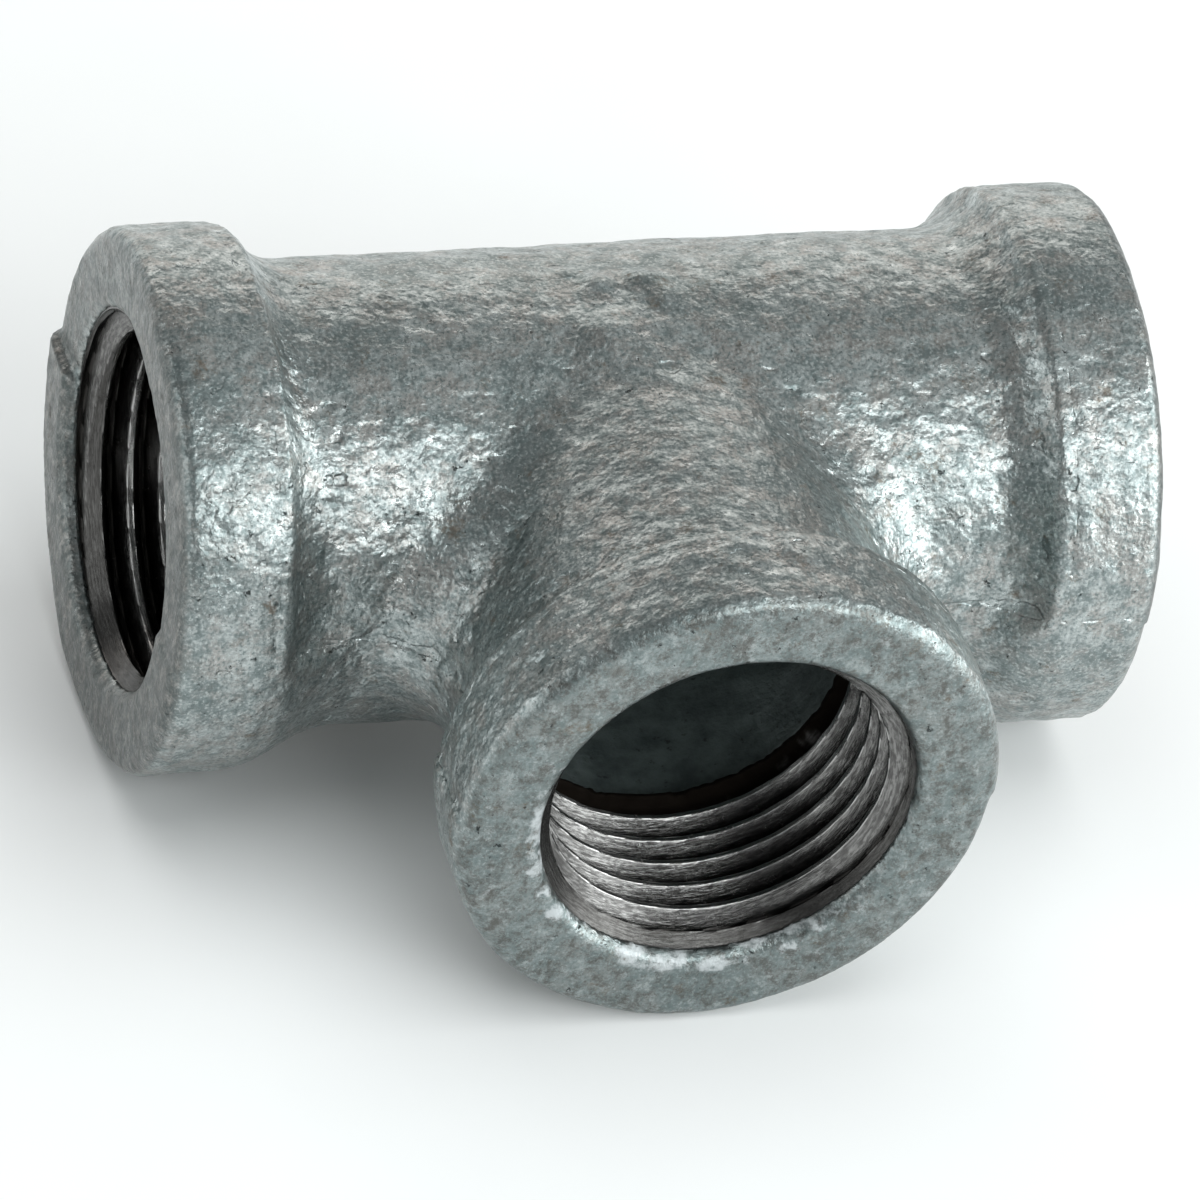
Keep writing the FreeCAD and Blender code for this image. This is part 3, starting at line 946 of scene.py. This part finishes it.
class FITTING_OT_skin(Operator):
    """Works out the casting and keeps its skin for the body and the bands"""

    bl_idname = "fitting.make_skin"
    bl_label = "Casting Skin"

    def execute(self, context):
        casting = Casting(context.scene.tee_casting)
        values, low = casting.field()
        mesh = mesh_from_field(values, low, casting.mesh_step, SKIN)
        mark_faces(mesh, casting)
        mark_passage(mesh, casting)
        mesh.use_fake_user = True
        return {"FINISHED"}


class FITTING_OT_body(Operator):
    """Parts the body of the tee from the skin"""

    bl_idname = "fitting.make_body"
    bl_label = "Tee Body"

    def execute(self, context):
        cuts = [
            (RIGHT_CUT, (-1.0, 0.0, 0.0)),
            (LEFT_CUT, (1.0, 0.0, 0.0)),
            (BRANCH_CUT, (0.0, 1.0, 0.0)),
        ]
        piece = part_skin("tee_body_casting", cuts)
        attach(piece, BODY)
        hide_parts("tee_body")
        return {"FINISHED"}


class FITTING_OT_bands(Operator):
    """Parts the three banded ends from the skin"""

    bl_idname = "fitting.make_bands"
    bl_label = "Banded Ends"

    def execute(self, context):
        ends = {
            "run_band_left": (LEFT_CUT, (-1.0, 0.0, 0.0)),
            "run_band_right": (RIGHT_CUT, (1.0, 0.0, 0.0)),
            "branch_band": (BRANCH_CUT, (0.0, -1.0, 0.0)),
        }
        for node, cut in ends.items():
            piece = part_skin(node + "_casting", [cut])
            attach(piece, BODY)
            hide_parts(node)
        return {"FINISHED"}


class FITTING_OT_threads(Operator):
    """Cuts the three threads as closed helical rings"""

    bl_idname = "fitting.make_threads"
    bl_label = "Cut Threads"

    def execute(self, context):
        ends = {
            "run_thread_left": ((-1.0, 0.0, 0.0), (0.0, -1.0, 0.0), 0.35, 41),
            "run_thread_right": ((1.0, 0.0, 0.0), (0.0, 1.0, 0.0), 0.1, 51),
            "branch_thread": ((0.0, -1.0, 0.0), (1.0, 0.0, 0.0), 0.6, 61),
        }
        for node, (axis, across, first_turn, seed) in ends.items():
            mesh = thread_mesh(node + "_cut", axis, across, first_turn, seed)
            piece = place_piece(node + "_cut", mesh, [cut_iron()])
            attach(piece, BODY)
            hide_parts(node)
        return {"FINISHED"}


def direction_to(bearing, height):
    """Direction from the fitting to a place at that bearing from straight ahead, and height."""
    return Vector(
        (
            math.sin(bearing) * math.cos(height),
            -math.cos(bearing) * math.cos(height),
            math.sin(height),
        )
    )


def add_softbox(name, bearing, height, away, size, strength, tint):
    """A flat soft light that faces the fitting from that bearing and height, in degrees."""
    direction = direction_to(math.radians(bearing), math.radians(height))
    data = bpy.data.lights.new(name, "AREA")
    data.shape = "RECTANGLE"
    data.size, data.size_y = size
    data.energy = strength * math.pi * size[0] * size[1]
    data.color = tint
    lamp = bpy.data.objects.new(name, data)
    bpy.context.scene.collection.objects.link(lamp)
    lamp.location = CROSSING + direction * away
    lamp.rotation_mode = "QUATERNION"
    lamp.rotation_quaternion = (-direction).to_track_quat("-Z", "Y")
    return lamp


def add_floor(settings):
    """A plain pale floor under the fitting."""
    bm = bmesh.new()
    bmesh.ops.create_grid(
        bm, x_segments=FLOOR_SQUARES, y_segments=FLOOR_SQUARES, size=FLOOR_HALF_WIDTH
    )
    mesh = bpy.data.meshes.new("floor")
    bm.to_mesh(mesh)
    bm.free()
    bench = Bench("floor_paper")
    shade = bench.noise(bench.object_place(), lump=0.02, detail=3.0, roughness=0.5)
    pale = tuple(settings.floor_colour)
    darker = tuple(FLOOR_SHADE * part for part in pale)
    bench.set("Base Color", bench.blend(bench.ease(shade, (0.3, 0.7)), darker, pale))
    bench.set("Roughness", 0.85)
    bench.set("Specular IOR Level", 0.1)
    floor = place_piece("floor", mesh, [bench.material])


def add_camera(settings):
    """The camera that frames the fitting."""
    back = direction_to(settings.bearing, settings.height)
    level = Vector((math.cos(settings.bearing), math.sin(settings.bearing), 0.0))
    upright = back.cross(level)
    upward = upright * math.cos(settings.roll) - level * math.sin(settings.roll)
    place = CROSSING + back * settings.distance
    aim = CROSSING - upward * settings.aim_below
    forward = (aim - place).normalized()
    right = forward.cross(upward).normalized()
    data = bpy.data.cameras.new("camera")
    data.sensor_width = SENSOR_WIDTH
    data.lens = settings.lens
    data.clip_start = NEAREST_SEEN
    data.clip_end = FARTHEST_SEEN
    camera = bpy.data.objects.new("camera", data)
    bpy.context.scene.collection.objects.link(camera)
    turned = Matrix((right, right.cross(forward), -forward)).transposed().to_4x4()
    turned.translation = place
    camera.matrix_world = turned
    bpy.context.scene.camera = camera


def add_room(settings):
    """Even light from the whole room."""
    world = bpy.data.worlds.new("room")
    world.use_nodes = True
    background = world.node_tree.nodes["Background"]
    background.inputs["Color"].default_value = (*settings.air_colour, 1.0)
    background.inputs["Strength"].default_value = 1.0
    bpy.context.scene.world = world


class FITTING_OT_stage(Operator):
    """Sets the floor, the soft lights and the camera"""

    bl_idname = "fitting.make_stage"
    bl_label = "Stage"

    def execute(self, context):
        settings = context.scene.tee_studio
        add_floor(settings)
        add_room(settings)
        for name, (bearing, height, away, size, tint) in SOFT_LIGHTS.items():
            strength = getattr(settings, name + "_strength")
            lamp = add_softbox(name + "_light", bearing, height, away, size, strength, tint)
            lamp.visible_glossy = name != "floor"
        add_camera(settings)
        context.scene.view_settings.view_transform = "Standard"
        return {"FINISHED"}


MAKING_ORDER = (
    FITTING_OT_stage,
    FITTING_OT_skin,
    FITTING_OT_body,
    FITTING_OT_bands,
    FITTING_OT_threads,
)


class FITTING_PT_maker(Panel):
    """The fitting's pieces and its stage, in the order they are made"""

    bl_idname = "FITTING_PT_maker"
    bl_label = "Galvanised Tee"
    bl_space_type = "VIEW_3D"
    bl_region_type = "UI"
    bl_category = "Fitting"

    def draw(self, context):
        layout = self.layout
        for step in MAKING_ORDER:
            layout.operator(step.bl_idname)
        for group in GROUPS:
            box = layout.box()
            settings = getattr(context.scene, group)
            for name in settings.__annotations__:
                box.prop(settings, name)


GROUPS = {
    "tee_casting": CastingSizes,
    "tee_thread": ThreadSizes,
    "tee_colours": FinishColours,
    "tee_studio": StudioSettings,
}


def register():
    """Makes the settings, the operators and the panel known to Blender."""
    for name, group in GROUPS.items():
        bpy.utils.register_class(group)
        setattr(bpy.types.Scene, name, PointerProperty(type=group))
    for step in MAKING_ORDER:
        bpy.utils.register_class(step)
    bpy.utils.register_class(FITTING_PT_maker)


def unregister():
    """Takes them away again."""
    bpy.utils.unregister_class(FITTING_PT_maker)
    for step in reversed(MAKING_ORDER):
        bpy.utils.unregister_class(step)
    for name, group in GROUPS.items():
        delattr(bpy.types.Scene, name)
        bpy.utils.unregister_class(group)


def main():
    """Makes every piece and the stage."""
    register()
    bpy.ops.fitting.make_stage()
    bpy.ops.fitting.make_skin()
    bpy.ops.fitting.make_body()
    bpy.ops.fitting.make_bands()
    bpy.ops.fitting.make_threads()


if __name__ == "__main__":
    main()
